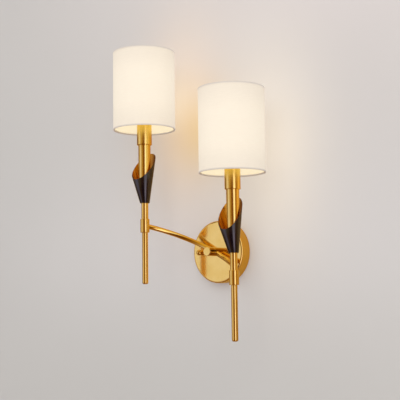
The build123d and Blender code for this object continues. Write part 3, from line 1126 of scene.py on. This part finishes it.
@dataclass
class Studio:
    """Wall, floor, lights and camera. None of them is part of the object.

    The camera is given by azimuth, pitch and roll in degrees, and by focal length and offset in pixels. A
    spot on the wall has its place across and up, its half width and half height, and its colour. A heading is
    the direction of a mirrored ray in degrees, 0 into the room and 90 to the right.
    """

    camera_place: Vector = field(default_factory=lambda: Vector((1.17137, -1.51086, -0.08524)))
    azimuth: float = 39.34
    pitch: float = 5.81
    roll: float = -0.74
    focal: float = 914.91
    image: float = 400.0
    offset: float = 0.5
    sensor: float = 36.0
    wall_gap: float = 0.9 * MM
    wall_size: float = 6.0
    floor_z: float = -0.95
    floor_size: float = 12.0
    wall_colour: Colour = (0.615, 0.595, 0.578)
    # Painted reflection: colours that metal mirrors in place of the wall's own paint, darker low and towards
    # the far sides.
    wall_mirrored_low: Colour = (0.36, 0.20, 0.019)
    wall_mirrored_high: Colour = (0.70, 0.44, 0.11)
    wall_mirrored_left: Colour = (0.17, 0.075, 0.013)
    wall_mirrored_right: Colour = (0.40, 0.19, 0.025)
    floor_colour: Colour = (0.60, 0.58, 0.56)
    even: Colour = (0.90, 0.90, 0.90)
    backdrop: Colour = (0.62, 0.59, 0.57)
    ceiling: Colour = (0.74, 0.49, 0.13)
    ground: Colour = (0.26, 0.12, 0.025)
    below: Colour = (1.0, 0.95, 0.60)
    key_place: Vector = field(default_factory=lambda: Vector((1.6, -2.9, 1.1)))
    key_power: float = 28.0
    key_size: float = 2.4
    key_colour: Colour = (1.0, 0.97, 0.93)
    # Painted light: a warm tint of lamplight on the wall between the shades, painted into the wall's colour.
    lamplight_tint: Spot = (-0.05, 0.26, 0.08, 0.08, (0.62, 0.52, 0.34))
    # Painted reflections: brighter and darker spots in the wall's mirrored colour.
    mirrored_spots: tuple[Spot, ...] = (
        (0.22, 0.20, 0.13, 0.16, (0.97, 0.58, 0.18)),
        (-0.12, 0.25, 0.10, 0.14, (0.34, 0.12, 0.00)),
        (0.11, 0.14, 0.10, 0.14, (0.34, 0.12, 0.00)),
        (-0.10, -0.04, 0.10, 0.07, (0.90, 0.61, 0.23)),
    )
    # Painted pools of lamplight on the wall, given off as emission.
    glows: tuple[Spot, ...] = (
        (-0.115, 0.30, 0.115, 0.185, (0.235, 0.110, 0.000)),
        (-0.135, 0.34, 0.050, 0.070, (0.110, 0.115, 0.085)),
        (0.115, 0.20, 0.120, 0.205, (0.245, 0.203, 0.129)),
        (0.40, 0.80, 0.820, 0.480, (0.190, 0.140, 0.145)),
        (0.01, 0.02, 0.700, 0.200, (0.079, 0.070, 0.080)),
    )
    headings: tuple[tuple[float, Colour], ...] = (
        (-180.0, (0.17, 0.075, 0.013)),
        (-92.0, (0.17, 0.075, 0.013)),
        (-74.0, (0.40, 0.28, 0.20)),
        (-62.0, (0.60, 0.50, 0.53)),
        (-50.0, (0.84, 0.82, 1.34)),
        (-30.0, (0.86, 0.84, 1.39)),
        (-20.0, (0.58, 0.44, 0.38)),
        (0.0, (0.52, 0.35, 0.15)),
        (14.0, (0.25, 0.10, 0.013)),
        (42.0, (0.22, 0.075, 0.01)),
        (49.0, (1.00, 0.98, 1.52)),
        (54.0, (1.42, 1.38, 2.28)),
        (72.0, (1.42, 1.38, 2.28)),
        (79.0, (0.50, 0.28, 0.063)),
        (110.0, (0.40, 0.19, 0.038)),
        (180.0, (0.17, 0.075, 0.013)),
    )

    def build(self) -> None:
        """Sets the stage."""
        bpy.context.scene.view_settings.view_transform = "Standard"
        self._camera()
        self._wall()
        self._floor()
        self._world()
        self._key()
        log.info("stage set")

    def _camera(self) -> None:
        """The photograph's camera."""
        a, p, r = (math.radians(x) for x in (self.azimuth, self.pitch, self.roll))
        ahead = Vector((-math.sin(a) * math.cos(p), math.cos(a) * math.cos(p), math.sin(p)))
        right = Vector((math.cos(a), math.sin(a), 0))
        up = right.cross(ahead)
        right_rolled = right * math.cos(r) + up * math.sin(r)
        up_rolled = up * math.cos(r) - right * math.sin(r)
        lens = bpy.data.cameras.new("camera")
        lens.sensor_width = self.sensor
        lens.lens = self.focal / self.image * lens.sensor_width
        lens.shift_x = lens.shift_y = self.offset / self.image
        lens.clip_start, lens.clip_end = 0.01, 100
        camera = bpy.data.objects.new("camera", lens)
        bpy.context.scene.collection.objects.link(camera)
        turn = Matrix((right_rolled, up_rolled, -ahead)).transposed()
        camera.matrix_world = Matrix.Translation(self.camera_place) @ turn.to_4x4()
        bpy.context.scene.camera = camera

    def _wall(self) -> None:
        """A wall seen from the room only, with painted lamplight on its paint and painted colours that metal
        mirrors in it.
        """
        Bench.clear()
        bpy.ops.mesh.primitive_plane_add(
            size=self.wall_size,
            location=(0, self.wall_gap, self.wall_size / 2 + self.floor_z),
            rotation=(math.radians(90), 0, 0),
        )
        wall = Bench.name("wall")
        paint = bpy.data.materials.new("wall_paint")
        paint.use_nodes = True
        recipe = Recipe(paint.node_tree)
        x, z = recipe.axes(recipe.place(), "XZ")

        def spot(across: float, height: float, width: float, rise: float) -> Ink:
            """1 at a place on the wall, fading softly round it."""
            u, v = (x - across) / width, (z - height) / rise
            return (u * u + v * v).bell()

        cloud = recipe.ease(recipe.noise(recipe.place(), 1.6), 0.3, 0.7)
        grain = recipe.noise(recipe.place(), 260.0, 3.0)
        plain = recipe.blend(cloud, self.wall_colour, shade(self.wall_colour, 0.97))
        # Painted warm lamplight over the wall's paint.
        plain = recipe.blend(spot(*self.lamplight_tint[:4]), plain, self.lamplight_tint[4])
        # Painted reflection, seen only by mirrored rays.
        mirrored = recipe.blend(recipe.ease(z, -0.15, 0.12), self.wall_mirrored_low, self.wall_mirrored_high)
        mirrored = recipe.blend(recipe.ease(x, 0.30, 0.60), mirrored, self.wall_mirrored_right)
        mirrored = recipe.blend(recipe.ease(x, -0.20, -0.70), mirrored, self.wall_mirrored_left)
        for *where, colour in self.mirrored_spots:
            mirrored = recipe.blend(spot(*where), mirrored, colour)
        # Painted glow of the lamps on the wall, summed from the spots.
        painted_glow = (0.0, 0.0, 0.0)
        for *where, colour in self.glows:
            share = recipe.node(
                "ShaderNodeVectorMath", {"operation": "SCALE"}, {0: colour, "Scale": spot(*where)}
            )
            painted_glow = recipe.node("ShaderNodeVectorMath", {"operation": "ADD"}, {0: painted_glow, 1: share})
        skin = recipe.node(
            "ShaderNodeBsdfPrincipled",
            None,
            {
                "Base Color": recipe.blend(recipe.ray("Glossy"), plain, mirrored),
                "Roughness": 1.0,
                "Specular IOR Level": 0.0,
                "Normal": recipe.relief(grain, 0.2 * MM, 0.3),
                "Emission Color": painted_glow,
                "Emission Strength": 1.0,
            },
        )
        seen = recipe.ray("Camera").larger(recipe.ray("Glossy")).larger(recipe.ray("Transmission"))
        behind = recipe.node("ShaderNodeNewGeometry", output="Backfacing")
        clear = recipe.node("ShaderNodeBsdfTransparent")
        both = recipe.node("ShaderNodeMixShader", None, {0: seen * (1 - behind), 1: clear, 2: skin})
        recipe.node("ShaderNodeOutputMaterial", None, {"Surface": both})
        dress(wall, paint)

    def _floor(self) -> None:
        """A plain pale floor, which metal does not mirror."""
        Bench.clear()
        bpy.ops.mesh.primitive_plane_add(size=self.floor_size, location=(0, 0, self.floor_z))
        floor = Bench.name("floor")
        paint = bpy.data.materials.new("floor_paint")
        paint.use_nodes = True
        recipe = Recipe(paint.node_tree)
        skin = recipe.node("ShaderNodeBsdfDiffuse", None, {"Color": self.floor_colour})
        clear = recipe.node("ShaderNodeBsdfTransparent")
        both = recipe.node("ShaderNodeMixShader", None, {0: recipe.ray("Glossy"), 1: skin, 2: clear})
        recipe.node("ShaderNodeOutputMaterial", None, {"Surface": both})
        dress(floor, paint)

    def _world(self) -> None:
        """An even room, whose mirror image in metal has tall soft boxes and dark gaps between them."""
        world = bpy.data.worlds.new("studio")
        bpy.context.scene.world = world
        world.use_nodes = True
        recipe = Recipe(world.node_tree)
        x, y, z = recipe.axes(recipe.node("ShaderNodeTexCoord", output="Generated"))
        turn = x.heading(0.0 - y) / (2 * math.pi) + 0.5
        stops = [((heading + 180) / 360, colour) for heading, colour in self.headings]
        walls = recipe.node("ShaderNodeValToRGB", {"stops": stops}, {0: turn})
        deeper = walls
        for factor in (walls, self.below):
            deeper = recipe.blend(1.0, deeper, factor, "MULTIPLY")
        mirrored = recipe.blend(recipe.ease(z, -0.05, -0.25), walls, deeper)
        mirrored = recipe.blend(recipe.ease(z, 0.40, 0.95), mirrored, self.ceiling)
        mirrored = recipe.blend(recipe.ease(z, -0.40, -0.85), mirrored, self.ground)
        light = recipe.blend(recipe.ray("Glossy"), self.even, mirrored)
        shown = recipe.blend(recipe.ray("Camera"), light, self.backdrop)
        sky = recipe.node("ShaderNodeBackground", None, {"Color": shown, "Strength": 1.0})
        recipe.node("ShaderNodeOutputWorld", None, {"Surface": sky})

    def _key(self) -> None:
        """One very large soft lamp beside the camera, too weak to throw a hard shadow."""
        light = bpy.data.lights.new("key", "AREA")
        light.shape, light.size = "SQUARE", self.key_size
        light.energy, light.color = self.key_power, self.key_colour
        key = bpy.data.objects.new("key", light)
        key.location = self.key_place
        key.rotation_euler = (-key.location).to_track_quat("-Z", "Y").to_euler()
        key.visible_glossy = False
        bpy.context.scene.collection.objects.link(key)


def main() -> None:
    """Builds the sub-assemblies in order and sets the stage."""
    WallSide().build()
    Lamp(Side.LEFT, Leaf(Side.LEFT, lean=0.078, mouth_tilt=49.0)).build()
    Lamp(Side.RIGHT, Leaf(Side.RIGHT, lean=0.125, mouth_tilt=53.0)).build()
    Studio().build()


if __name__ == "__main__":
    main()
